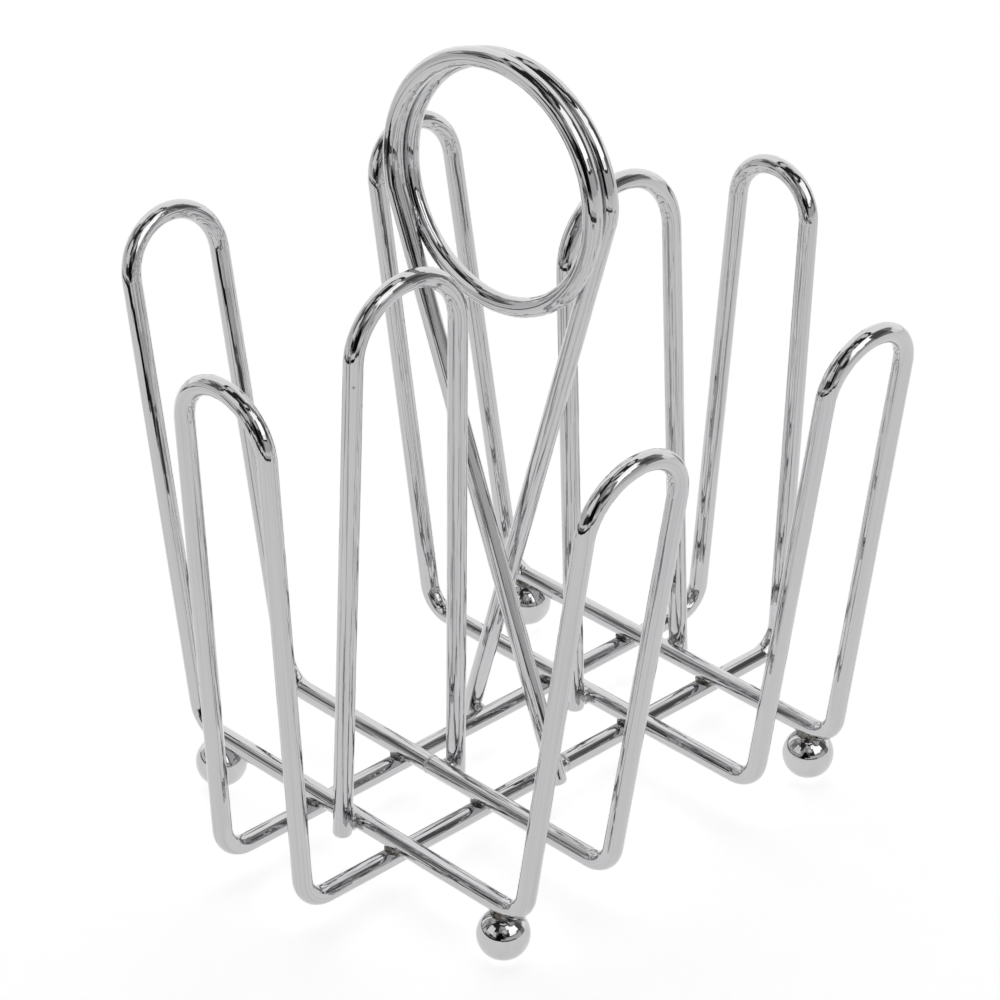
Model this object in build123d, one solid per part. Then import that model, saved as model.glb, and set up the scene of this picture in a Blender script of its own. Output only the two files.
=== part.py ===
from build123d import *

import os
from math import cos, radians, sin, tan

# Tabletop napkin holder: bent and welded round wire on four ball feet.
# Millimetres. The origin is on the table under the middle, +Z is up. X runs along the side frames'
# bars, Y along the cross frame's bars, and the coil of the handle is wound round an axis near Y.
# The wires were bent by hand, so no two fingers are quite alike.

WIRE = 5.0                       # diameter of every wire
BALL = 13.4                      # diameter of a ball foot
BALL_SINK = 1.1                  # how deep a bar sits in the ball under it
PRESS = 0.25                     # how far two crossing wires are pressed into each other
BEND = 8.0                       # centre-line radius where a bar turns up into a leg

BAR_OFFSET = 14.8                # from the middle of a frame to each of its two bars
FRAME_OFFSET = 41.3              # from the middle of the holder to each side frame
BALL_X = {"near": (-50.6, 53.7), "far": (-52.3, 51.8)}  # the two balls under each side frame
UPPER_BAR_Z = BALL - BALL_SINK + WIRE / 2
LOWER_BAR_Z = UPPER_BAR_Z - WIRE + PRESS
SIDE_CONTACT = WIRE - PRESS      # between the centre lines of two wires welded side by side

# A finger: how far its legs stand from the middle, its lean outward and its sway sideways in
# degrees, its height along the legs to the centre of the round top, and half the top's width.
NEAR_FINGERS = [
    {"reach": 57.5, "lean": 11.5, "sway": 0.9, "height": 120.5, "half": 14.2},
    {"reach": 60.5, "lean": 9.0, "sway": 0.4, "height": 114.5, "half": 15.3},
]
FAR_FINGERS = [
    {"reach": 58.5, "lean": 9.5, "sway": -0.7, "height": 121.0, "half": 13.2},
    {"reach": 59.5, "lean": 9.3, "sway": -1.5, "height": 120.0, "half": 13.7},
]
CROSS_FINGERS = [
    {"reach": 86.0, "lean": 3.5, "sway": 0.0, "height": 126.5, "half": 14.4},
    {"reach": 84.0, "lean": 3.0, "sway": -0.7, "height": 124.0, "half": 11.9},
]
INNER_FOOT_Z = UPPER_BAR_Z - 3.0  # where the legs of an inner finger end
NEAR_INNER = {"x": 1.0, "lean": 1.6, "sway": 0.0, "height": 132.8, "half": 16.6}
FAR_INNER = {"x": 0.6, "lean": -2.3, "sway": -0.5, "height": 125.5, "half": 18.7}

RING_RADIUS = 31.3               # centre line of the handle's ring
RING_CENTRE = (-5.0, -1.5, 169.9)
RING_TWIST = 3.0                 # degrees that the ring is turned about Z
RING_TILT = -2.8                 # degrees that it leans about X, its top towards +Y
COIL_PITCH = 5.7                 # along Y, from one turn to the next
COIL_RISE = 1.4                  # the next turn also sits this much higher
COIL_START = 9.0                 # degrees, anticlockwise from +X as seen from -Y
COIL_END = 553.5                 # a turn and a half further on
COIL_ARCS = 18                   # arcs that the coil is bent in
SHOULDER = 13.0                  # radius of the bend from the ring into a leg
SHOULDER_LEAD = 3.0              # from the ring to the corner of that bend
HANDLE_FEET = [(-20.3, 3.0, 8.0), (20.0, -3.7, 9.5)]
MIDDLE = (1.6, 1.7, 0.0)         # moves the middle of the whole box to the origin

END_ROUNDING = 1.0               # on the cut ends of the wires
BUTT_GAP = 0.6                   # between the two ends of a closed frame, filled by its weld
BUTT_SHIFT = 3.0                 # from the middle of the bar to its butt weld
BUTT_RADIUS = WIRE / 2 + 0.2
WELD_RADIUS = 2.9                # of the lump of weld metal at a contact
COLLAR_RADIUS = 3.4              # of the weld round the top of a ball
COLLAR_HEIGHT = 2.0
COLLAR_Z = BALL - 0.7            # its middle


def round_wire(path):
    """The wire's round section carried along a path."""
    section = Plane(origin=path @ 0, z_dir=path % 0) * Circle(WIRE / 2)
    wire = sweep(section, path=path)
    drift = wire.volume / (section.area * path.length) - 1
    print(f"wire {path.length:.1f} mm, volume off by {drift:.2%}")
    return wire


def rounded_ends(wire):
    """A wire with its two cut ends rounded over."""
    ends = [face for face in wire.faces() if face.geom_type == GeomType.PLANE]
    return fillet([edge for face in ends for edge in face.edges()], END_ROUNDING)


def finger_top(finger, side):
    """The two upper corners of a finger, near one first; side is -1 or 1 along X."""
    rise = finger["height"] + finger["half"]
    x = side * (finger["reach"] + rise * sin(radians(finger["lean"])))
    y = rise * tan(radians(finger["sway"]))
    z = rise * cos(radians(finger["lean"]))
    return (x, y - finger["half"], z), (x, y + finger["half"], z)


def frame_path(fingers, bar, butt):
    """The loop of a frame: two bars along X and a finger at each end.

    The loop starts and ends at its butt weld, on the bar on side bar (-1 or 1) at x = butt.
    """
    left, right = fingers
    start, other = bar * BAR_OFFSET, -bar * BAR_OFFSET
    right_top = finger_top(right, 1)[::-bar]
    left_top = finger_top(left, -1)[::bar]
    corners = [
        (butt + BUTT_GAP / 2, start, 0),
        (right["reach"], start, 0),
        *right_top,
        (right["reach"], other, 0),
        (-left["reach"], other, 0),
        *left_top,
        (-left["reach"], start, 0),
        (butt - BUTT_GAP / 2, start, 0),
    ]
    tops = [finger["half"] - 0.1 for finger in (right, left)]
    radii = [BEND, tops[0], tops[0], BEND, BEND, tops[1], tops[1], BEND]
    return FilletPolyline(*corners, radius=radii)


def inner_finger(inner, y):
    """A U of wire that stands astride a side frame centred on y."""
    base = BAR_OFFSET + SIDE_CONTACT
    rise = inner["height"] + inner["half"]
    top_x = inner["x"] + rise * tan(radians(inner["lean"]))
    top_y = y + rise * tan(radians(inner["sway"]))
    corners = [
        (inner["x"], y - base, INNER_FOOT_Z),
        (top_x, top_y - inner["half"], INNER_FOOT_Z + rise),
        (top_x, top_y + inner["half"], INNER_FOOT_Z + rise),
        (inner["x"], y + base, INNER_FOOT_Z),
    ]
    path = FilletPolyline(*corners, radius=inner["half"] - 0.1)
    return rounded_ends(round_wire(path))


def coil_point(angle, radius):
    """A point beside the coil's centre line, at an angle in degrees from +X towards +Z."""
    turns = (angle - (COIL_START + COIL_END) / 2) / 360
    flat = Vector(radius * cos(radians(angle)), -COIL_PITCH * turns, radius * sin(radians(angle)))
    turned = flat.rotate(Axis.X, RING_TILT).rotate(Axis.Z, RING_TWIST)
    return turned + Vector(*RING_CENTRE) + Vector(0, 0, COIL_RISE * turns)


def ring_handle():
    """A coil of a turn and a half, each end of it run down to the far bar of the cross frame."""
    step = (COIL_END - COIL_START) / COIL_ARCS
    corner_radius = RING_RADIUS / cos(radians(step / 2))
    corners = [coil_point(COIL_START + (arc + 0.5) * step, corner_radius) for arc in range(COIL_ARCS)]
    first = coil_point(COIL_START, RING_RADIUS)
    last = coil_point(COIL_END, RING_RADIUS)
    first_corner = first + (first - corners[0]).normalized() * SHOULDER_LEAD
    last_corner = last + (last - corners[-1]).normalized() * SHOULDER_LEAD
    points = [Vector(*HANDLE_FEET[0]), first_corner, *corners, last_corner, Vector(*HANDLE_FEET[1])]
    radii = [SHOULDER] + [RING_RADIUS * 0.995] * COIL_ARCS + [SHOULDER]
    return rounded_ends(round_wire(FilletPolyline(*points, radius=radii)))


def butt_weld():
    """The slightly proud disc that joins the two ends of a frame, its axis along X."""
    disc = Cylinder(BUTT_RADIUS, BUTT_GAP, rotation=(0, 90, 0))
    return fillet(disc.edges().filter_by(GeomType.CIRCLE), 0.15)


def lump(x, y, z):
    """A ball of weld metal round a contact, before the wires are taken out of it."""
    return Pos(x, y, z) * Sphere(WELD_RADIUS)


# The three closed frames and the discs that close them.
near_place = Pos(0, -FRAME_OFFSET, UPPER_BAR_Z)
far_place = Pos(0, FRAME_OFFSET, UPPER_BAR_Z)
cross_place = Pos(0, 0, LOWER_BAR_Z) * Rot(0, 0, 90)
near_frame = near_place * round_wire(frame_path(NEAR_FINGERS, 1, -BUTT_SHIFT))
far_frame = far_place * round_wire(frame_path(FAR_FINGERS, -1, -BUTT_SHIFT))
cross_frame = cross_place * round_wire(frame_path(CROSS_FINGERS, -1, BUTT_SHIFT))
frames = [near_frame, far_frame, cross_frame - near_frame - far_frame]
disc = butt_weld()
butt_welds = [
    near_place * Pos(-BUTT_SHIFT, BAR_OFFSET, 0) * disc,
    far_place * Pos(-BUTT_SHIFT, -BAR_OFFSET, 0) * disc,
    cross_place * Pos(BUTT_SHIFT, -BAR_OFFSET, 0) * disc,
]

# The inner fingers and the handle, notched where they are pressed against the bars.
near_inner = inner_finger(NEAR_INNER, -FRAME_OFFSET) - near_frame
far_inner = inner_finger(FAR_INNER, FRAME_OFFSET) - far_frame
handle = ring_handle() - cross_frame

parts = {
    "side_frame_near": frames[0],
    "side_frame_far": frames[1],
    "cross_frame": frames[2],
    "inner_finger_near": near_inner,
    "inner_finger_far": far_inner,
    "ring_handle": handle,
}
for number, weld in enumerate(butt_welds, 1):
    parts[f"butt_weld_{number}"] = weld

# A ball and its collar of weld under the outer bar at each corner.
for row, side_frame, y in (("near", near_frame, -1), ("far", far_frame, 1)):
    for end, x in zip(("left", "right"), BALL_X[row]):
        place = Pos(x, y * (FRAME_OFFSET + BAR_OFFSET), 0)
        ball = place * Pos(0, 0, BALL / 2) * Sphere(BALL / 2) - side_frame
        collar = place * Pos(0, 0, COLLAR_Z) * Cylinder(COLLAR_RADIUS, COLLAR_HEIGHT)
        parts[f"foot_{row}_{end}"] = ball
        parts[f"foot_weld_{row}_{end}"] = collar - side_frame - ball

# A lump of weld at each crossing of the bars.
contact_z = (UPPER_BAR_Z + LOWER_BAR_Z) / 2
for row, y in (("near", -FRAME_OFFSET), ("far", FRAME_OFFSET)):
    for x in (-BAR_OFFSET, BAR_OFFSET):
        for bar in (-BAR_OFFSET, BAR_OFFSET):
            name = f"crossing_weld_{row}_{'left' if x < 0 else 'right'}_{'front' if bar < 0 else 'back'}"
            parts[name] = lump(x, y + bar, contact_z) - frames[0] - frames[1] - frames[2]

# One where each leg of an inner finger meets its bar, and one at each foot of the handle.
for row, inner, y in (("near", near_inner, -FRAME_OFFSET), ("far", far_inner, FRAME_OFFSET)):
    x = (NEAR_INNER if row == "near" else FAR_INNER)["x"]
    for side in (-1, 1):
        contact = y + side * (BAR_OFFSET + SIDE_CONTACT / 2)
        name = f"finger_weld_{row}_{'front' if side < 0 else 'back'}"
        parts[name] = lump(x, contact, UPPER_BAR_Z) - frames[0] - frames[1] - inner
for foot, side in zip(HANDLE_FEET, ("left", "right")):
    contact = foot[0] - (1 if foot[0] > 0 else -1) * (SIDE_CONTACT / 2 + 0.8)
    parts[f"handle_weld_{side}"] = lump(contact, foot[1], LOWER_BAR_Z + 0.5) - frames[2] - handle

os.makedirs("parts", exist_ok=True)
for name, part in parts.items():
    export_step(Pos(*MIDDLE) * part, f"parts/{name}.step")
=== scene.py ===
import math
import bpy
import numpy as np
from mathutils import Matrix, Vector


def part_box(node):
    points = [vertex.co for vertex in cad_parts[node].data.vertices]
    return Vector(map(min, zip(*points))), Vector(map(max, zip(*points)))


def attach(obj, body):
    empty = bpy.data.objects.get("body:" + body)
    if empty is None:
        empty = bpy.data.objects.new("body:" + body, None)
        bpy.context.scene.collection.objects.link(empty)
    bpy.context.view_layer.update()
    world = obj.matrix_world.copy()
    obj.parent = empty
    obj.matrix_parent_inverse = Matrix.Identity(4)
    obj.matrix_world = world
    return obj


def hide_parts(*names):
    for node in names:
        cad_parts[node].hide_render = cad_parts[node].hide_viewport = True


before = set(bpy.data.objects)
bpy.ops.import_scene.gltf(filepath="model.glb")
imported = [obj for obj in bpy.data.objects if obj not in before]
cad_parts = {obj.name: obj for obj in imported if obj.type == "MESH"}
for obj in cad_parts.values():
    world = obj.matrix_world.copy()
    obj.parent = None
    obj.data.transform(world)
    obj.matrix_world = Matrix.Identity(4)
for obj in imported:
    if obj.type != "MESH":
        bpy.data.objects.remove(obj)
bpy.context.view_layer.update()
print("stage: the packed model is loaded,", len(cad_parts), "nodes")

# Sizes are in millimetres, as the CAD gives them; they become metres when a mesh is made.
mm = 0.001
middle = np.array([1.6, 1.7, 0.0])  # moves the middle of the whole box to the origin

wire = {
    "radius": 2.5,
    "bend": 8.0,  # centre-line radius where a bar turns up into a leg
    "press": 0.25,  # how far two crossing wires are pressed together
    "endRounding": 1.0,
    "endAngles": [0, 12, 25, 40, 55, 72, 90],  # of the rings round the quarter circle of an end
    "endFlat": [0.45, 0.8],  # two more rings on the flat of the cut, as shares of its radius
    "around": 32,  # faces round the section
    "step": 0.9,  # between rings along a straight run
    "arcStep": 3.0,  # degrees between rings round a bend
    "shortest": 0.4,  # a run shorter than this between two bends gets no rings of its own
    "topFlat": 0.1,  # half of the straight left in the middle of a finger's round top
}
base = {"barOffset": 14.8, "frameOffset": 41.3, "upperBarZ": 14.8, "lowerBarZ": 10.05}
sideContact = 2 * wire["radius"] - wire["press"]

# A finger: reach of its legs, outward lean and sideways sway in degrees, height of its legs, and half
# the width of its round top. Each was bent by hand, so no two are alike.
sideFrames = {
    "near": {
        "left": {"reach": 57.5, "lean": 11.5, "sway": 0.9, "height": 120.5, "half": 14.2},
        "right": {"reach": 60.5, "lean": 9.0, "sway": 0.4, "height": 114.5, "half": 15.3},
    },
    "far": {
        "left": {"reach": 58.5, "lean": 9.5, "sway": -0.7, "height": 121.0, "half": 13.2},
        "right": {"reach": 59.5, "lean": 9.3, "sway": -1.5, "height": 120.0, "half": 13.7},
    },
}
crossFrame = {
    "left": {"reach": 86.0, "lean": 3.5, "sway": 0.0, "height": 126.5, "half": 14.4},
    "right": {"reach": 84.0, "lean": 3.0, "sway": -0.7, "height": 124.0, "half": 11.9},
}
innerFingers = {
    "near": {"x": 1.0, "lean": 1.6, "sway": 0.0, "height": 132.8, "half": 16.6, "footZ": 11.8},
    "far": {"x": 0.6, "lean": -2.3, "sway": -0.5, "height": 125.5, "half": 18.7, "footZ": 11.8},
}
ringHandle = {
    "radius": 31.3,
    "centre": (-5.0, -1.5, 169.9),
    "twist": 3.0,  # about Z, degrees
    "tilt": -2.8,  # about X
    "pitch": 5.7,  # along Y from one turn to the next
    "rise": 1.4,  # along Z
    "start": 9.0,  # degrees from +X towards +Z
    "end": 553.5,
    "arcs": 18,
    "arcShare": 0.995,  # of the ring's radius, so that neighbouring arcs don't quite meet
    "shoulder": 13.0,  # radius of the bend from the ring into a leg
    "lead": 3.0,  # from the ring to the corner of that bend
    "feet": [(-20.3, 3.0, 8.0), (20.0, -3.7, 9.5)],
}
balls = {
    "radius": 6.7,
    "near": (-50.6, 53.7),  # along the outer bar of each side frame
    "far": (-52.3, 51.8),
    "around": 96,
    "rows": 64,
    "hotAbove": 2.0,  # the middle of the burnt ring stands this far over the ball
}
buttWelds = {
    "shift": 3.0,  # from the middle of its bar
    "gap": 0.4,  # between the two ends of the wire, under the ridge
    "proud": 0.15,
    "sunk": 0.06,
    "halfWidth": 0.8,
    "unevenHeight": 0.45,  # share of the height, and of the width below
    "unevenWidth": 0.12,
    "around": 64,
    "rows": 25,
}
heatReach = 4.2  # how far from a weld the plate is burnt


# The same direction with a length of 1: v / |v|.
def unit(v):
    return v / np.linalg.norm(v, axis=-1, keepdims=True)


# A path of straight runs joined by arcs: each arc is c + r (e1 cos t + e2 sin t), tangent to both
# its runs, and a run is start + (end - start) s. Gives the points and the directions there.
def bentPath(corners, radii):
    corners = [np.array(c, float) for c in corners]
    points, directions, runStart = [], [], corners[0]

    def addRun(start, end, way):
        length = (end - start) @ way
        if length > wire["shortest"]:
            share = np.linspace(0, 1, max(1, round(length / wire["step"])), endpoint=False)[:, None]
            points.append(start + (end - start) * share)
            directions.append(np.tile(way, (len(share), 1)))

    for corner, before, after, radius in zip(corners[1:-1], corners, corners[2:], radii):
        u, v = unit(before - corner), unit(after - corner)
        halfAngle = math.acos(np.clip(u @ v, -1, 1)) / 2
        centre = corner + unit(u + v) * radius / math.sin(halfAngle)
        reach = radius / math.tan(halfAngle)
        e1, e2 = unit(corner + u * reach - centre), -u
        sweep = math.pi - 2 * halfAngle
        steps = max(3, math.ceil(math.degrees(sweep) / wire["arcStep"]))
        t = np.linspace(0, sweep, steps, endpoint=False)[:, None]
        addRun(runStart, corner + u * reach, -u)
        points.append(centre + radius * (np.cos(t) * e1 + np.sin(t) * e2))
        directions.append(np.cos(t) * e2 - np.sin(t) * e1)
        runStart = corner + v * reach
    lastWay = unit(corners[-1] - corners[-2])
    addRun(runStart, corners[-1], lastWay)
    return np.vstack(points + [corners[-1]]), np.vstack(directions + [lastWay])


# The two upper corners of a finger, lower y first: x = reach + rise sin(lean), y = rise tan(sway) -+
# half, z = rise cos(lean), where rise is the legs' height plus half the top's width.
def fingerTop(finger, side):
    rise = finger["height"] + finger["half"]
    x = side * (finger["reach"] + rise * math.sin(math.radians(finger["lean"])))
    y = rise * math.tan(math.radians(finger["sway"]))
    z = rise * math.cos(math.radians(finger["lean"]))
    return (x, y - finger["half"], z), (x, y + finger["half"], z)


# The loop of a frame, started and ended at its butt weld: along one bar, up and over the right finger,
# back along the other bar, and up and over the left finger, with an arc at each corner.
def framePath(fingers, bar, butt):
    left, right = fingers["left"], fingers["right"]
    start, other = bar * base["barOffset"], -bar * base["barOffset"]
    corners = [
        (butt + buttWelds["gap"] / 2, start, 0),
        (right["reach"], start, 0),
        *fingerTop(right, 1)[::-bar],
        (right["reach"], other, 0),
        (-left["reach"], other, 0),
        *fingerTop(left, -1)[::bar],
        (-left["reach"], start, 0),
        (butt - buttWelds["gap"] / 2, start, 0),
    ]
    bend = wire["bend"]
    rightTop, leftTop = right["half"] - wire["topFlat"], left["half"] - wire["topFlat"]
    return bentPath(corners, [bend, rightTop, rightTop, bend, bend, leftTop, leftTop, bend])


# A U of wire that stands astride a side frame: two legs that lean by rise tan(lean) along X and sway
# by rise tan(sway) along Y, joined by a half circle.
def innerPath(finger, y):
    foot = base["barOffset"] + sideContact
    rise = finger["height"] + finger["half"]
    topX = finger["x"] + rise * math.tan(math.radians(finger["lean"]))
    topY = y + rise * math.tan(math.radians(finger["sway"]))
    corners = [
        (finger["x"], y - foot, finger["footZ"]),
        (topX, topY - finger["half"], finger["footZ"] + rise),
        (topX, topY + finger["half"], finger["footZ"] + rise),
        (finger["x"], y + foot, finger["footZ"]),
    ]
    return bentPath(corners, [finger["half"] - wire["topFlat"]] * 2)


# A point turned about X or Z: the other two coordinates go to c p - s q and s p + c q.
def turnAbout(v, axis, degrees):
    c, s = math.cos(math.radians(degrees)), math.sin(math.radians(degrees))
    x, y, z = v
    if axis == "x":
        return np.array([x, c * y - s * z, s * y + c * z])
    return np.array([c * x - s * y, s * x + c * y, z])


# A point of the coil: (r cos a, -pitch turns, r sin a), tilted and twisted, plus the centre and the
# rise times the turns, which are counted from the middle of the coil.
def coilPoint(angle, radius):
    ring = ringHandle
    turns = (angle - (ring["start"] + ring["end"]) / 2) / 360
    a = math.radians(angle)
    flat = np.array([radius * math.cos(a), -ring["pitch"] * turns, radius * math.sin(a)])
    turned = turnAbout(turnAbout(flat, "x", ring["tilt"]), "z", ring["twist"])
    return turned + np.array(ring["centre"]) + np.array([0, 0, ring["rise"] * turns])


# The coil as short arcs, whose corners lie on a circle of r / cos(half a step), between two legs.
def handlePath():
    ring = ringHandle
    step = (ring["end"] - ring["start"]) / ring["arcs"]
    outer = ring["radius"] / math.cos(math.radians(step / 2))
    corners = [coilPoint(ring["start"] + (arc + 0.5) * step, outer) for arc in range(ring["arcs"])]
    first, last = coilPoint(ring["start"], ring["radius"]), coilPoint(ring["end"], ring["radius"])
    firstCorner = first + unit(first - corners[0]) * ring["lead"]
    lastCorner = last + unit(last - corners[-1]) * ring["lead"]
    points = [ring["feet"][0], firstCorner, *corners, lastCorner, ring["feet"][1]]
    arcRadii = [ring["radius"] * ring["arcShare"]] * ring["arcs"]
    return bentPath(points, [ring["shoulder"], *arcRadii, ring["shoulder"]])


# Where the wires are welded: (centre, axis of the first wire, axis of the second, direction from the
# second wire to the first). They place the lumps and the heat marks.
def weldPlaces():
    places = {}
    x, y, z = np.eye(3)
    contactZ = (base["upperBarZ"] + base["lowerBarZ"]) / 2
    for row, side in (("near", -1), ("far", 1)):
        for across, end in ((-1, "left"), (1, "right")):
            for along, bar in ((-1, "front"), (1, "back")):
                barY = side * base["frameOffset"] + along * base["barOffset"]
                centre = np.array([across * base["barOffset"], barY, contactZ])
                places[f"crossing_weld_{row}_{end}_{bar}"] = (centre, x, y, z)
        finger = innerFingers[row]
        for along, bar in ((-1, "front"), (1, "back")):
            contactY = side * base["frameOffset"] + along * (base["barOffset"] + sideContact / 2)
            centre = np.array([finger["x"], contactY, base["upperBarZ"]])
            places[f"finger_weld_{row}_{bar}"] = (centre, x, z, -along * y)
    path, directions = handlePath()
    flat = np.array([1, 0, 1])  # the bar runs along Y, so distances to it leave Y out
    for name, end, way in (("left", 0, 1), ("right", -1, -1)):
        foot, leg = path[end], directions[end] * way
        barAxis = np.array([math.copysign(base["barOffset"], foot[0]), 0, base["lowerBarZ"]])
        away = unit(np.cross(leg, y))
        away = away * np.sign(away @ (barAxis - foot))
        nearest = foot + leg * ((barAxis - foot) * flat @ leg) / (1 - leg[1] ** 2)
        centre = np.array([barAxis[0], nearest[1], barAxis[2]]) - away * sideContact / 2
        places[f"handle_weld_{name}"] = (centre, y, leg, away)
    return places


# The middle of each ball: under the outer bar of its side frame, its lowest point on the table.
def ballPlaces():
    return {
        f"{row}_{end}": np.array([x, side * (base["frameOffset"] + base["barOffset"]), balls["radius"]])
        for row, side in (("near", -1), ("far", 1))
        for end, x in zip(("left", "right"), balls[row])
    }


welds = weldPlaces()
feet = ballPlaces()
innerBarY = base["frameOffset"] - base["barOffset"]
butts = {
    "butt_weld_1": np.array([-buttWelds["shift"], -innerBarY, base["upperBarZ"]]),
    "butt_weld_2": np.array([-buttWelds["shift"], innerBarY, base["upperBarZ"]]),
    "butt_weld_3": np.array([base["barOffset"], buttWelds["shift"], base["lowerBarZ"]]),
}
ballTops = [centre + np.array([0, 0, balls["radius"] + balls["hotAbove"]]) for centre in feet.values()]
hotSpots = np.array([place[0] for place in welds.values()] + ballTops + list(butts.values()))


# How much a point was heated: the sum over the welds of exp(-(distance / reach) squared), at most 1.
def heatAt(points):
    gaps = np.linalg.norm(points[:, None, :] - hotSpots[None], axis=2)
    return np.clip(np.exp(-((gaps / heatReach) ** 2)).sum(1), 0, 1)


# Puts rows x columns of points into a mesh of squares, with a pole in the middle of the first and of
# the last row unless the rows loop. Faces are turned outwards by the sign of the volume that they
# enclose, the sum of p . (q x r + r x s) over the squares p q r s, seen from the piece's middle.
def gridPiece(name, node, grid, material, loop=False, straight=None):
    rows, columns = grid.shape[:2]
    points = grid.reshape(-1, 3) + middle
    ringIndex = np.arange(rows * columns).reshape(rows, columns)
    upper = np.roll(ringIndex, -1, 0) if loop else ringIndex[1:]
    lower = ringIndex if loop else ringIndex[:-1]
    quads = np.stack([lower, np.roll(lower, -1, 1), np.roll(upper, -1, 1), upper], -1).reshape(-1, 4)
    faces = quads.tolist()
    if not loop:
        points = np.vstack([points, grid[0].mean(0) + middle, grid[-1].mean(0) + middle])
        first, last = ringIndex[0], ringIndex[-1]
        south, north = np.full(columns, rows * columns), np.full(columns, rows * columns + 1)
        faces += np.stack([np.roll(first, -1), first, south], -1).tolist()
        faces += np.stack([last, np.roll(last, -1), north], -1).tolist()
    p, q, r, s = ((points - points.mean(0))[quads[:, corner]] for corner in range(4))
    outward = (p * (np.cross(q, r) + np.cross(r, s))).sum()
    if outward < 0:
        faces = [face[::-1] for face in faces]
    mesh = bpy.data.meshes.new(name)
    mesh.from_pydata((points * mm).tolist(), [], faces)
    mesh.polygons.foreach_set("use_smooth", np.ones(len(faces), bool))
    if straight is not None:
        if not loop:
            straight = np.vstack([straight, [0, 0, straight[0, 2]], [0, 0, straight[-1, 2]]])
        mesh.attributes.new("straightWire", "FLOAT_VECTOR", "POINT").data.foreach_set(
            "vector", straight.astype(np.float32).ravel()
        )
    heat = heatAt(points - middle).astype(np.float32)
    mesh.attributes.new("heat", "FLOAT", "POINT").data.foreach_set("value", heat)
    mesh.materials.append(material)
    mesh.update()
    piece = bpy.data.objects.new(name, mesh)
    bpy.context.scene.collection.objects.link(piece)
    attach(piece, "root")
    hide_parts(node)
    gap = np.abs(np.array([points.min(0), points.max(0)]) - np.array(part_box(node)) / mm).max()
    print(f"  {name}: {len(faces)} faces, box within {gap:.2f} mm of its node's")


# A round section carried along a path: point = p + r (n1 cos a + n2 sin a), where n1 is the part
# square to the path of a direction, given once or for each point of the path, and n2 is square to both.
# A cut end is rounded: r follows a quarter circle.
def carriedWire(name, node, line, towards, material, loop=False):
    path, tangents = line
    radius = np.full(len(path), wire["radius"])
    if not loop:
        r = wire["endRounding"]
        into = r * (1 - np.cos(np.radians(wire["endAngles"])))
        rounded = wire["radius"] - r + np.sqrt(r**2 - (r - into) ** 2)
        endRadius = np.r_[rounded[0] * np.array(wire["endFlat"]), rounded]
        into = np.r_[np.zeros(len(wire["endFlat"])), into]
        head = path[0] + tangents[0] * into[:, None]
        tail = path[-1] - tangents[-1] * into[::-1, None]
        ends = (len(into), 1)
        path = np.vstack([head, path[2:-2], tail])
        tangents = np.vstack([np.tile(tangents[0], ends), tangents[2:-2], np.tile(tangents[-1], ends)])
        radius = np.r_[endRadius, radius[2:-2], endRadius[::-1]]
    n1 = unit(towards - (towards * tangents).sum(1)[:, None] * tangents)
    n2 = np.cross(tangents, n1)
    a = np.linspace(0, 2 * np.pi, wire["around"], endpoint=False)
    ring = np.cos(a)[None, :, None] * n1[:, None] + np.sin(a)[None, :, None] * n2[:, None]
    grid = path[:, None] + radius[:, None, None] * ring
    along = np.r_[0, np.cumsum(np.linalg.norm(np.diff(path, axis=0), axis=1))]
    unbent = [np.outer(radius, np.cos(a)), np.outer(radius, np.sin(a)), np.outer(along, np.ones(len(a)))]
    gridPiece(name, node, grid, material, loop, np.stack(unbent, -1).reshape(-1, 3))


# Lumpiness of weld metal, about -1 to 1: the sum of cos(n a + phase) cos(1.3 n t + phase) / n^0.6 for
# n of 2 to 8, round (a) and up (t) the lump, with seeded phases.
def lumpiness(a, t, seed):
    dice = np.random.default_rng(seed)
    total = np.zeros(np.broadcast(a, t).shape)
    for waves in range(2, 9):
        around = np.cos(waves * a + dice.uniform(0, 6.28))
        total += around * np.cos(waves * t * 1.3 + dice.uniform(0, 6.28)) / waves**0.6
    return total / 2.2  # about the largest sum


lumps = {
    "around": 56,
    "rows": 36,
    "capRows": 5,  # of those rows, on each end
    "innermost": 0.15,  # share of the edge at which the rows of an end begin
    "roughness": 0.09,
    "sunk": 0.25,  # how deep a lump's ends stand in the metal that they join
    "sliver": 0.3,  # least square of a height over a wire, so that an edge past it has one
}


# A closed lump between two surfaces over a plane: rows run from a pole under the lower surface, out
# to its edge, up the wall with a waist of the given depth, and back in to a pole over the upper one.
def lumpGrid(lowerHeight, upperHeight, lowerEdge, upperEdge, waist, seed):
    a = np.linspace(0, 2 * np.pi, lumps["around"], endpoint=False)[None]
    inwards = np.linspace(lumps["innermost"], 1, lumps["capRows"], endpoint=False)[:, None]
    t = np.linspace(0, 1, lumps["rows"] - 2 * lumps["capRows"])[:, None]
    edgeRho = lowerEdge(a) + (upperEdge(a) - lowerEdge(a)) * t
    low = lowerHeight(lowerEdge(a), a) - lumps["sunk"]
    high = upperHeight(upperEdge(a), a) + lumps["sunk"]
    bumps = lumps["roughness"] * lumpiness(a, t * 3, seed) * np.sin(np.pi * t)
    wallRho = edgeRho - waist(a) * np.sin(np.pi * t) + bumps
    wallZ = low + (high - low) * t
    lowRho, highRho = lowerEdge(a) * inwards, upperEdge(a) * inwards[::-1]
    lowZ, highZ = lowerHeight(lowRho, a) - lumps["sunk"], upperHeight(highRho, a) + lumps["sunk"]
    return np.vstack([lowRho, wallRho, highRho]), a, np.vstack([lowZ, wallZ, highZ])


crossingLump = {
    "radius": 2.2,
    "corner": 0.32,  # further out in the corners between the wires
    "uneven": 0.12,
    "waist": 0.1,  # how far the wall is drawn in beside the wires
    "bulge": 0.18,  # and how far it swells in the corners
}


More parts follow.
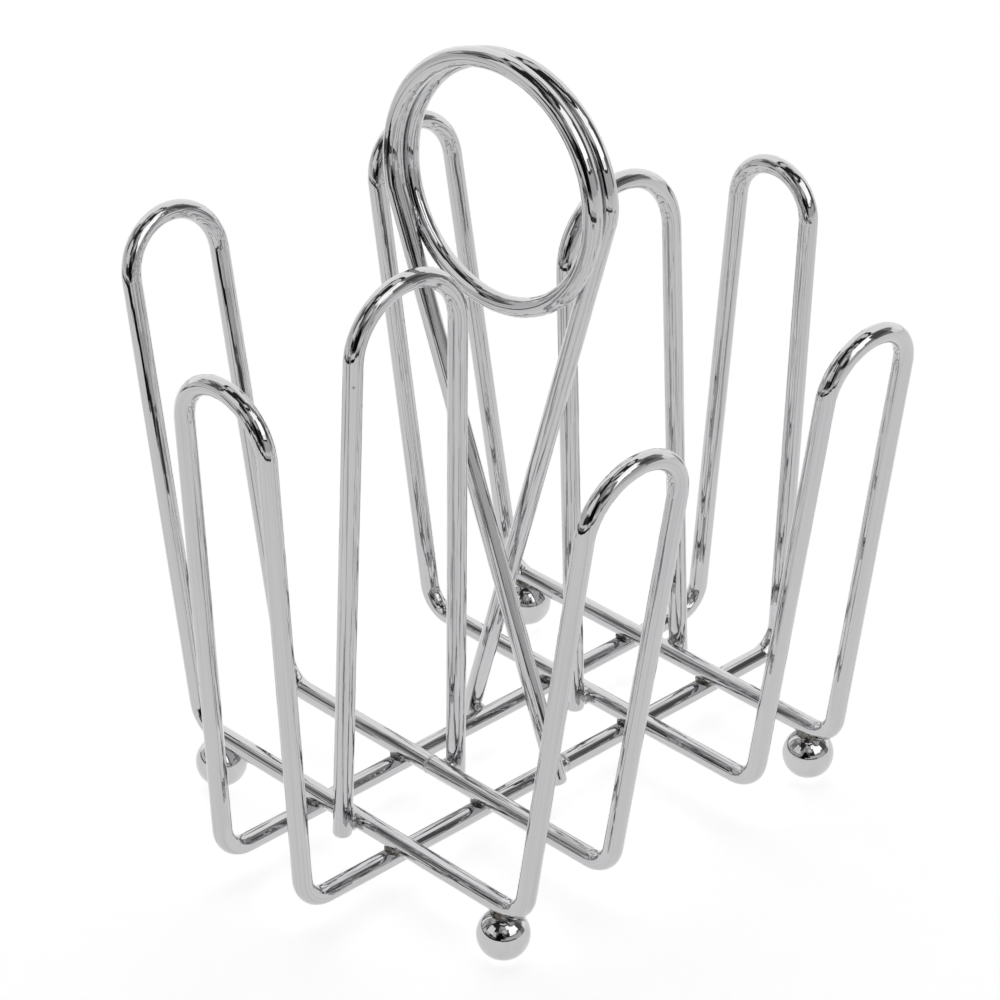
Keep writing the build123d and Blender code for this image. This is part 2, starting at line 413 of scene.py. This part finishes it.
# The lump at two crossed wires: its edge, radius + corner sin(2a)^2, stands out in the four corners
# between them, and both its ends are the wires' own surfaces, h - sqrt(r^2 - distance^2).
def crossedWeld(name, place, seed, material):
    centre, axisUp, axisDown, away = place
    shape = crossingLump
    r, h = wire["radius"], sideContact / 2
    dice = np.random.default_rng(seed)
    chance = dice.uniform(0.75, 1.25, 4)

    def edge(a):
        uneven = shape["uneven"] * chance[0] * np.cos(a - chance[1])
        return shape["radius"] + (shape["corner"] * chance[2] + uneven) * np.sin(2 * a) ** 2

    rho, a, z = lumpGrid(
        lambda p, a: -h + np.sqrt(np.maximum(r**2 - (p * np.cos(a)) ** 2, lumps["sliver"])),
        lambda p, a: h - np.sqrt(np.maximum(r**2 - (p * np.sin(a)) ** 2, lumps["sliver"])),
        edge,
        edge,
        lambda a: shape["waist"] * np.cos(2 * a) ** 2 - shape["bulge"] * np.sin(2 * a) ** 2,
        seed,
    )
    plan = np.cos(a)[..., None] * axisUp + np.sin(a)[..., None] * axisDown
    grid = centre + rho[..., None] * plan + z[..., None] * away
    gridPiece(name + "_lump", name, grid, material)


ballNeck = {
    "onBall": (4.4, 3.5),  # half lengths of the oval along the bar and across it
    "underBar": (4.0, 2.35),
    "waist": 0.25,
    "uneven": 0.12,
    "sliver": 0.2,
}


# The rough neck between a ball and the bar on it: an oval collar 1 / sqrt((cos a / long)^2 +
# (sin a / short)^2), longer along the bar, from the ball's surface to the bar's.
def neckWeld(name, node, ball, seed, material):
    shape = ballNeck
    r, big, barZ = wire["radius"], balls["radius"], base["upperBarZ"]

    def oval(longAxis, shortAxis):
        return lambda a: 1 / np.sqrt((np.cos(a) / longAxis) ** 2 + (np.sin(a) / shortAxis) ** 2)

    rho, a, z = lumpGrid(
        lambda p, a: big + np.sqrt(big**2 - p**2),
        lambda p, a: barZ - np.sqrt(np.maximum(r**2 - (p * np.sin(a)) ** 2, shape["sliver"])),
        oval(*shape["onBall"]),
        oval(*shape["underBar"]),
        lambda a: shape["waist"] + shape["uneven"] * np.cos(2 * a),
        seed,
    )
    centre = np.array([ball[0], ball[1], 0])
    plan = np.stack([np.cos(a), np.sin(a), 0 * a], -1)
    grid = centre + rho[..., None] * plan + z[..., None] * np.array([0, 0, 1])
    gridPiece(name, node, grid, material)


# The ridge round a butt weld: x = w s, radius = r - sunk + proud (1 - s^2)^1.5 with a hammered
# unevenness, s of -1 to 1 along the wire.
def buttRidge(name, centre, axis, seed, material):
    a = np.linspace(0, 2 * np.pi, buttWelds["around"], endpoint=False)[None]
    s = np.linspace(-1, 1, buttWelds["rows"])[:, None]
    uneven = 1 + buttWelds["unevenHeight"] * lumpiness(a, s * 2, seed)
    ridge = wire["radius"] - buttWelds["sunk"] + buttWelds["proud"] * (1 - s**2) ** 1.5 * uneven
    x = buttWelds["halfWidth"] * s * (1 + buttWelds["unevenWidth"] * lumpiness(a, 0 * s, seed + 1))
    inwards = np.array([0.3, 0.7])[:, None]  # two more rings on each end
    rho = np.vstack([ridge[:1] * inwards, ridge, ridge[-1:] * inwards[::-1]])
    x = np.vstack([np.repeat(x[:1], 2, 0), x, np.repeat(x[-1:], 2, 0)])
    side = np.array([axis[1], axis[0], 0.0])
    ring = np.cos(a)[..., None] * side + np.sin(a)[..., None] * np.array([0, 0, 1.0])
    grid = centre + x[..., None] * axis + rho[..., None] * ring
    gridPiece(name + "_ridge", name, grid, material)


# A ball: centre + R (cos u cos a, cos u sin a, sin u), latitude u evenly spaced from pole to pole.
def ballFoot(name, node, centre, material):
    latitude = np.linspace(-90, 90, balls["rows"] + 2)[1:-1, None]
    a = np.linspace(0, 2 * np.pi, balls["around"], endpoint=False)[None]
    c, s = np.cos(np.radians(latitude)), np.sin(np.radians(latitude))
    grid = centre + balls["radius"] * np.stack([c * np.cos(a), c * np.sin(a), s + 0 * a], -1)
    gridPiece(name, node, grid, material)


def srgb(code):  # an sRGB hex colour as linear red, green, blue, alpha
    c = np.array([int(code[i : i + 2], 16) for i in (1, 3, 5)]) / 255
    return (*np.where(c <= 0.04045, c / 12.92, ((c + 0.055) / 1.055) ** 2.4), 1.0)


# Adds a node and gives one of its outputs. Its inputs are a list from the first on, or a dictionary
# from name or number to what goes in: a value, or another node's output. MapRange takes a value and
# the two ends of the range that it comes from and goes to; Mix takes a share at 0, colours at 6 and 7.
def addNode(tree, kind, output, inputs=(), **settings):
    made = tree.nodes.new("ShaderNode" + kind)
    for key, value in settings.items():
        setattr(made, key, value)
    for key, value in inputs.items() if isinstance(inputs, dict) else enumerate(inputs):
        if isinstance(value, bpy.types.NodeSocket):
            tree.links.new(value, made.inputs[key])
        else:
            made.inputs[key].default_value = value
    return made.outputs[output] if made.outputs else None


def newMaterial(name):
    material = bpy.data.materials.new(name)
    material.use_nodes = True
    material.node_tree.nodes.clear()
    return material, material.node_tree


# One noise for each row of a table: its grain widths in mm along the three axes of the coordinates,
# its detail, and where in the noise it is taken from, so that no two match.
def noisePatterns(tree, coordinates, table, unitsPerMm):
    patterns = {}
    for name, (widths, detail, start) in table.items():
        scale = tuple(1 / (width * unitsPerMm) for width in widths)
        shift = (start, start * 1.7, start * 0.6)
        place = addNode(tree, "Mapping", 0, {"Vector": coordinates, "Scale": scale, "Location": shift})
        patterns[name] = addNode(tree, "TexNoise", "Fac", {"Vector": place, "Scale": 1.0, "Detail": detail})
    return patterns


# A metal with its bumps in a chain, each a pattern and its depth in metres.
def metalSurface(tree, colour, rough, bumps):
    inputs = {"Base Color": colour, "Metallic": 1.0, "Roughness": rough}
    for height, depth in bumps:
        before = {"Normal": inputs["Normal"]} if "Normal" in inputs else {}
        bump = {"Strength": 1.0, "Distance": depth, "Height": height, **before}
        inputs["Normal"] = addNode(tree, "Bump", 0, bump)
    shader = addNode(tree, "BsdfPrincipled", 0, inputs)
    addNode(tree, "OutputMaterial", 0, {"Surface": shader})


# Decorative chrome plated over nickel on drawn steel wire: a neutral grey mirror. The drawing die
# leaves long shallow lines that break reflections into streaks, bending leaves ripples, and heat at a
# weld leaves a brown haze and a crust.
chromeWire = {
    "chrome": "#c1c1c2",
    "haze": "#b8b8ba",
    "pit": "#4a4744",
    "burn": "#6d6459",
    "roughness": 0.012,
    "lineRoughness": 0.035,  # added in the die lines
    "burnRoughness": 0.3,  # added where it was burnt
    "pitShare": 0.7,  # how much of the pits' colour and of the burn's shows at most
    "burnShare": 0.75,
    "pitsPerMm": 0.1,
    "pitRange": (0.018, 0.05),  # each range: where a mark begins in its pattern, and where it is full
    "heatRange": (0.15, 1.0),
    "patchRange": (0.35, 0.6),
    "hazeRange": (0.45, 0.72),
    "dullRange": (0.4, 0.75),
    "patterns": {
        "dieLines": ((0.55, 0.55, 70.0), 1.5, 0.0),  # wider than the real 0.1 mm, so that they show
        "flats": ((2.2, 2.2, 45.0), 1.0, 4.0),
        "ripples": ((5.0, 5.0, 12.0), 2.0, 9.0),
        "patches": ((1.6, 1.6, 2.6), 4.0, 2.0),
        "crust": ((0.7, 0.7, 0.7), 3.0, 6.0),
    },
    "depths": {"flats": 0.00025, "dieLines": 0.00006, "ripples": 0.00007, "crust": 0.00022},
}


def makeChromeWire():
    look = chromeWire
    material, tree = newMaterial("chromePlatedDrawnWire")
    straight = addNode(tree, "Attribute", "Vector", attribute_name="straightWire")
    heat = addNode(tree, "Attribute", "Fac", attribute_name="heat")
    noise = noisePatterns(tree, straight, look["patterns"], 1.0)
    lines = noise["dieLines"]
    spotPlaces = {"Vector": straight, "Scale": look["pitsPerMm"]}
    spots = addNode(tree, "TexVoronoi", "Distance", spotPlaces, feature="F1")
    pits = addNode(tree, "MapRange", 0, [spots, *look["pitRange"], look["pitShare"], 0.0])
    hot = addNode(tree, "MapRange", 0, [heat, *look["heatRange"]])
    patches = addNode(tree, "MapRange", 0, [noise["patches"], *look["patchRange"]])
    hazy = addNode(tree, "MapRange", 0, [lines, *look["hazeRange"]])
    burnt = addNode(tree, "Math", 0, [hot, patches], operation="MULTIPLY")
    brown = addNode(tree, "Math", 0, [burnt, look["burnShare"]], operation="MULTIPLY")
    colour = srgb(look["chrome"])
    for share, mark in ((hazy, "haze"), (pits, "pit"), (brown, "burn")):
        colour = addNode(tree, "Mix", 2, {0: share, 6: colour, 7: srgb(look[mark])}, data_type="RGBA")
    roughest = look["roughness"] + look["lineRoughness"]
    lineRough = addNode(tree, "MapRange", 0, [lines, *look["dullRange"], look["roughness"], roughest])
    burnRough = addNode(tree, "Math", 0, [burnt, look["burnRoughness"]], operation="MULTIPLY")
    rough = addNode(tree, "Math", 0, [lineRough, burnRough], operation="ADD")
    crust = addNode(tree, "Math", 0, [heat, noise["crust"]], operation="MULTIPLY")
    heights = {**noise, "crust": crust}
    metalSurface(tree, colour, rough, [(heights[name], depth) for name, depth in look["depths"].items()])
    return material


# Chrome plate on a rolled steel bearing ball: the truest mirror here, with a few fine scratches and a
# dark burnt ring where it was welded.
chromeBall = {
    "chrome": "#c4c4c5",
    "cloud": "#bababb",
    "burn": "#3f3a35",
    "roughness": 0.015,
    "scratchRoughness": 0.12,
    "burnRoughness": 0.3,
    "cloudShare": 0.35,
    "burnShare": 0.7,
    "cloudRange": (0.4, 0.7),
    "heatRange": (0.25, 0.9),
    "patchRange": (0.3, 0.6),
    "scratchRange": (0.5, 0.8),
    "patterns": {
        "clouds": ((3.0, 3.0, 3.0), 3.0, 0.0),
        "scratches": ((0.35, 0.35, 2.2), 2.0, 3.0),
        "patches": ((0.9, 0.9, 0.9), 3.0, 5.0),
    },
    "depths": {"clouds": 0.00003, "scratches": 0.000004},
}


def makeChromeBall():
    look = chromeBall
    material, tree = newMaterial("chromePlatedSteelBall")
    place = addNode(tree, "TexCoord", "Object")
    heat = addNode(tree, "Attribute", "Fac", attribute_name="heat")
    noise = noisePatterns(tree, place, look["patterns"], mm)
    hot = addNode(tree, "MapRange", 0, [heat, *look["heatRange"]])
    patches = addNode(tree, "MapRange", 0, [noise["patches"], *look["patchRange"]])
    cloudy = addNode(tree, "MapRange", 0, [noise["clouds"], *look["cloudRange"], 0.0, look["cloudShare"]])
    burnt = addNode(tree, "Math", 0, [hot, patches], operation="MULTIPLY")
    brown = addNode(tree, "Math", 0, [burnt, look["burnShare"]], operation="MULTIPLY")
    colour = srgb(look["chrome"])
    for share, mark in ((cloudy, "cloud"), (brown, "burn")):
        colour = addNode(tree, "Mix", 2, {0: share, 6: colour, 7: srgb(look[mark])}, data_type="RGBA")
    least, most = look["roughness"], look["roughness"] + look["scratchRoughness"]
    scratched = addNode(tree, "MapRange", 0, [noise["scratches"], *look["scratchRange"], least, most])
    burnRough = addNode(tree, "Math", 0, [burnt, look["burnRoughness"]], operation="MULTIPLY")
    rough = addNode(tree, "Math", 0, [scratched, burnRough], operation="ADD")
    metalSurface(tree, colour, rough, [(noise[name], depth) for name, depth in look["depths"].items()])
    return material


# Weld metal under thin plate. Flash is squeezed out molten where wires cross and never polished, so it
# is dull, lumpy and browned; a bead at the end of a wire is smoother and took the chrome well.
weldMetal = {
    "platedWeldFlash": {
        "plate": "#8f8c88",
        "scale": "#3d3833",
        "stained": (0.4, 0.6),
        "roughness": 0.16,
        "depth": 0.0002,
    },
    "platedWeldBead": {
        "plate": "#bab9b8",
        "scale": "#6b655f",
        "stained": (0.55, 0.75),
        "roughness": 0.06,
        "depth": 0.00014,
    },
}
weldPatterns = {"grains": ((0.7, 0.7, 0.7), 4.0, 0.0), "stains": ((1.6, 1.6, 1.6), 3.0, 7.0)}
weldGrains = {"range": (0.3, 0.7), "roughness": 0.2}  # what the grains add to a weld's roughness


def makeWeldMetal(name):
    look = weldMetal[name]
    material, tree = newMaterial(name)
    place = addNode(tree, "TexCoord", "Object")
    noise = noisePatterns(tree, place, weldPatterns, mm)
    stain = addNode(tree, "MapRange", 0, [noise["stains"], *look["stained"]])
    tones = {0: stain, 6: srgb(look["plate"]), 7: srgb(look["scale"])}
    colour = addNode(tree, "Mix", 2, tones, data_type="RGBA")
    least, most = look["roughness"], look["roughness"] + weldGrains["roughness"]
    rough = addNode(tree, "MapRange", 0, [noise["grains"], *weldGrains["range"], least, most])
    metalSurface(tree, colour, rough, [(noise["grains"], look["depth"])])
    return material


wireFinish, ballFinish = makeChromeWire(), makeChromeBall()
flashFinish, beadFinish = (makeWeldMetal(name) for name in weldMetal)
print("stage: four finishes are made")

insideZ = 60.0  # a point at this height, inside a loop, is where its sections' first side faces
for row, side, bar in (("near", -1, 1), ("far", 1, -1)):
    place = np.array([0, side * base["frameOffset"], base["upperBarZ"]])
    path, directions = framePath(sideFrames[row], bar, -buttWelds["shift"])
    line = path + place, directions
    node = f"side_frame_{row}"
    carriedWire(node + "_wire", node, line, [0, place[1], insideZ] - line[0], wireFinish, loop=True)
    line = innerPath(innerFingers[row], place[1])
    node = f"inner_finger_{row}"
    carriedWire(node + "_wire", node, line, np.array([1.0, 0, 0]), wireFinish)
quarterTurn = np.array([[0, 1, 0], [-1, 0, 0], [0, 0, 1]])
path, directions = (rows @ quarterTurn for rows in framePath(crossFrame, -1, buttWelds["shift"]))
line = path + [0, 0, base["lowerBarZ"]], directions
carriedWire("cross_frame_wire", "cross_frame", line, [0, 0, insideZ] - line[0], wireFinish, loop=True)
carriedWire("ring_handle_wire", "ring_handle", handlePath(), np.array([0, 1.0, 0]), wireFinish)
print("stage: six wires are bent")

seeds = {"lump": 20, "neck": 60, "ridge": 80}  # the first of each kind, so that no two welds are alike
for number, (name, place) in enumerate(welds.items()):
    crossedWeld(name, place, seeds["lump"] + number, flashFinish if "crossing" in name else beadFinish)
for number, (end, centre) in enumerate(feet.items()):
    ballFoot(f"foot_{end}_ball", f"foot_{end}", centre, ballFinish)
    neckWeld(f"foot_weld_{end}_neck", f"foot_weld_{end}", centre, seeds["neck"] + number, flashFinish)
for number, (name, centre) in enumerate(butts.items()):
    axis = np.array([0, 1.0, 0]) if name == "butt_weld_3" else np.array([1.0, 0, 0])
    buttRidge(name, centre, axis, seeds["ridge"] + number, beadFinish)
print("stage: balls and welds are made")

view = {
    "azimuth": 45.641,
    "elevation": 30.212,
    "roll": 0.2836,
    "place": (0.64275, -0.63073, 0.60769),
    "lens": 150.19,
    "sensor": 36,
    "clip": (0.05, 20),
}
studio = {
    "surround": 0.035,  # glow of the air, which fills what no panel covers
    "middleHeight": 0.09,  # the panels' elevations are seen from here, over the table
    "steps": 24,  # faces in a panel
    "floorRadius": 3.2,
    "floorTones": ("#f4f4f4", "#f2f2f2"),
    "floorMottle": ((60, 60, 60), 2.0, 0.0),
    "floorGlow": 0.85,
    "keyWatts": 8.0,
    "keySize": 1.6,
    "keyDistance": 1.5,
    "keyPlace": (180, 72),  # azimuth away from the camera's, and elevation
}


# Name, azimuths away from the camera's and elevations it spans (degrees), distance (m), brightness.
studioPanels = [
    ("leftFill", -124, -86, 15, 62, 2.45, 0.36),
    ("rightFill", 62, 118, -4, 62, 2.45, 0.27),
    ("frontFill", -62, 17, 28, 62, 2.45, 0.33),
    ("backWall", 118, 236, -4, 60, 2.4, 1.25),
    ("rightBackWall", 104, 118, -4, 16, 2.4, 1.15),
    ("leftLowWall", -124, -62, -3, 15, 2.3, 0.74),
    ("leftStrip", -119, -104, 15, 30, 2.2, 0.75),
    ("leftGap", -104, -90, 18, 44, 2.2, 0.13),
    ("leftSoftbox", -80, -47, 15, 45, 2.0, 1.05),
    ("leftSoftboxLow", -47, -30, 12, 30, 2.0, 0.75),
    ("darkShelf", -46, -24, 30, 44, 2.0, 0.03),
    ("darkCorner", -62, -26, 44, 62, 2.0, 0.03),
    ("darkTop", -82, -50, 60, 76, 1.6, 0.02),
    ("fillCard", -4, 17, 31, 46, 2.0, 0.8),
    ("overheadGap", 14, 28, 30, 47, 2.0, 0.3),
    ("rightSoftbox", 29, 75, 24, 46, 2.0, 2.0),
    ("rightSoftboxFoot", 29, 62, 17, 24, 2.0, 1.5),
    ("rightSoftboxTop", 17, 87, 46, 62, 2.0, 1.7),
    ("rightGap", 77, 103, 14, 44, 2.1, 0.11),
    ("rightLowWall", 5, 80, -2, 14, 2.2, 0.62),
    ("cameraSide", -31, 10, -4, 20, 0.95, 0.11),
    ("cameraTop", -31, 4, 20, 31, 0.95, 0.2),
    ("cameraBody", -28, 3, -1, 18, 0.9, 0.004),
    ("cameraHood", -22, -4, 18, 28, 0.9, 0.004),
    ("tableEdgeLeft", -118, -76, -11, -7, 0.45, 0.1),
    ("roomLeft", -118, -76, -7, -3, 0.45, 0.8),
    ("tableEdgeCorner", -76, -8, -10.5, -6, 0.45, 0.01),
    ("roomCorner", -76, -31, -6, -1, 0.45, 0.2),
    ("tableEdgeFront", -8, 45, -11, -7, 0.45, 0.06),
    ("roomFront", -8, 45, -7, -3, 0.45, 0.6),
    ("leftHigh", -118, -86, 44, 60, 2.2, 0.66),
    ("frontHigh", -14, 14, 50, 60, 2.0, 0.6),
    ("ceilingBack", 100, 260, 66, 78, 1.6, 0.9),
    ("ceilingStrip", -45, 45, 68, 74, 1.6, 0.9),
]


# The direction from the middle towards an azimuth and elevation, (sin a cos e, -cos a cos e, sin e),
# and the level direction across it, (cos a, sin a, 0).
def outAndAcross(azimuth, elevation):
    a, e = math.radians(azimuth), math.radians(elevation)
    out = np.array([math.sin(a) * math.cos(e), -math.cos(a) * math.cos(e), math.sin(e)])
    return out, np.array([math.cos(a), math.sin(a), 0])


# Stands a camera or a light at a place, turned so that it looks against the direction "back".
def stand(thing, right, up, back, place):
    matrix = np.eye(4)
    matrix[:3, 0], matrix[:3, 1], matrix[:3, 2], matrix[:3, 3] = right, up, back, place
    thing.matrix_world = Matrix(matrix.tolist())
    bpy.context.scene.collection.objects.link(thing)


# The camera, rolled by turning its two cross directions: right = level cos(roll) + up sin(roll).
def makeCamera():
    back, level = outAndAcross(view["azimuth"], view["elevation"])
    roll = math.radians(view["roll"])
    right = math.cos(roll) * level + math.sin(roll) * np.cross(back, level)
    data = bpy.data.cameras.new("camera")
    data.lens, data.sensor_width = view["lens"], view["sensor"]
    data.clip_start, data.clip_end = view["clip"]
    camera = bpy.data.objects.new("camera", data)
    stand(camera, right, np.cross(back, right), back, view["place"])
    bpy.context.scene.camera = camera


# The soft light over the table, not seen in reflections.
def makeKeyLight():
    azimuth, elevation = studio["keyPlace"]
    back, level = outAndAcross(view["azimuth"] + azimuth, elevation)
    data = bpy.data.lights.new("overhead", "AREA")
    data.shape, data.size, data.energy = "SQUARE", studio["keySize"], studio["keyWatts"]
    light = bpy.data.objects.new("overhead", data)
    place = back * studio["keyDistance"] + np.array([0, 0, studio["middleHeight"]])
    stand(light, level, np.cross(back, level), back, place)
    light.visible_glossy = light.visible_camera = False


# A panel of the studio, part of a cylinder round the object between two azimuths and two elevations:
# (d sin a, -d cos a, d tan e + middle height). It is seen only in reflections, or only by the camera.
def panel(name, fromAzimuth, toAzimuth, fromElevation, toElevation, distance, strength, toCamera=False):
    steps = studio["steps"]
    a = np.radians(view["azimuth"] + np.linspace(fromAzimuth, toAzimuth, steps + 1))
    e = np.radians([fromElevation, toElevation])[:, None]
    height = distance * np.tan(e) + studio["middleHeight"]
    x, y = distance * np.sin(a)[None] + 0 * e, -distance * np.cos(a)[None] + 0 * e
    points = np.stack([x, y, height + 0 * a], -1).reshape(-1, 3)
    k = np.arange(steps)
    faces = np.stack([k, k + 1, k + steps + 2, k + steps + 1], -1)
    mesh = bpy.data.meshes.new(name)
    mesh.from_pydata(points.tolist(), [], faces.tolist())
    material, tree = newMaterial(name)
    glow = addNode(tree, "Emission", 0, {"Color": srgb("#ffffff"), "Strength": strength})
    addNode(tree, "OutputMaterial", 0, {"Surface": glow})
    mesh.materials.append(material)
    card = bpy.data.objects.new(name, mesh)
    bpy.context.scene.collection.objects.link(card)
    card.visible_diffuse = card.visible_shadow = False
    card.visible_camera, card.visible_glossy = toCamera, not toCamera


# The table top: a disc of white acrylic, (r cos a, r sin a, 0), lit from under as well.
def makeFloor():
    a = np.linspace(0, 2 * np.pi, 96, endpoint=False)
    points = studio["floorRadius"] * np.stack([np.cos(a), np.sin(a), 0 * a], -1)
    mesh = bpy.data.meshes.new("floor")
    mesh.from_pydata(points.tolist(), [], [list(range(len(a)))])
    material, tree = newMaterial("whiteAcrylicTable")
    place = addNode(tree, "TexCoord", "Object")
    mottle = noisePatterns(tree, place, {"mottle": studio["floorMottle"]}, mm)["mottle"]
    light, dark = (srgb(code) for code in studio["floorTones"])
    tone = addNode(tree, "Mix", 2, {0: mottle, 6: light, 7: dark}, data_type="RGBA")
    matt = addNode(tree, "BsdfDiffuse", 0, {"Color": tone})
    glow = addNode(tree, "Emission", 0, {"Color": tone, "Strength": studio["floorGlow"]})
    both = addNode(tree, "AddShader", 0, [matt, glow])
    addNode(tree, "OutputMaterial", 0, {"Surface": both})
    mesh.materials.append(material)
    floor = bpy.data.objects.new("floor", mesh)
    bpy.context.scene.collection.objects.link(floor)


makeCamera()
makeFloor()
makeKeyLight()
for row in studioPanels:
    panel(*row)
panel("paleRoom", -180, 180, -5, 60, 3.15, 0.93, toCamera=True)
world = bpy.data.worlds.new("studioAir")
bpy.context.scene.world = world
world.use_nodes = True
world.node_tree.nodes["Background"].inputs[0].default_value = srgb("#ffffff")
world.node_tree.nodes["Background"].inputs[1].default_value = studio["surround"]
bpy.context.scene.view_settings.view_transform = "Standard"
print("stage: camera, table and lights stand")
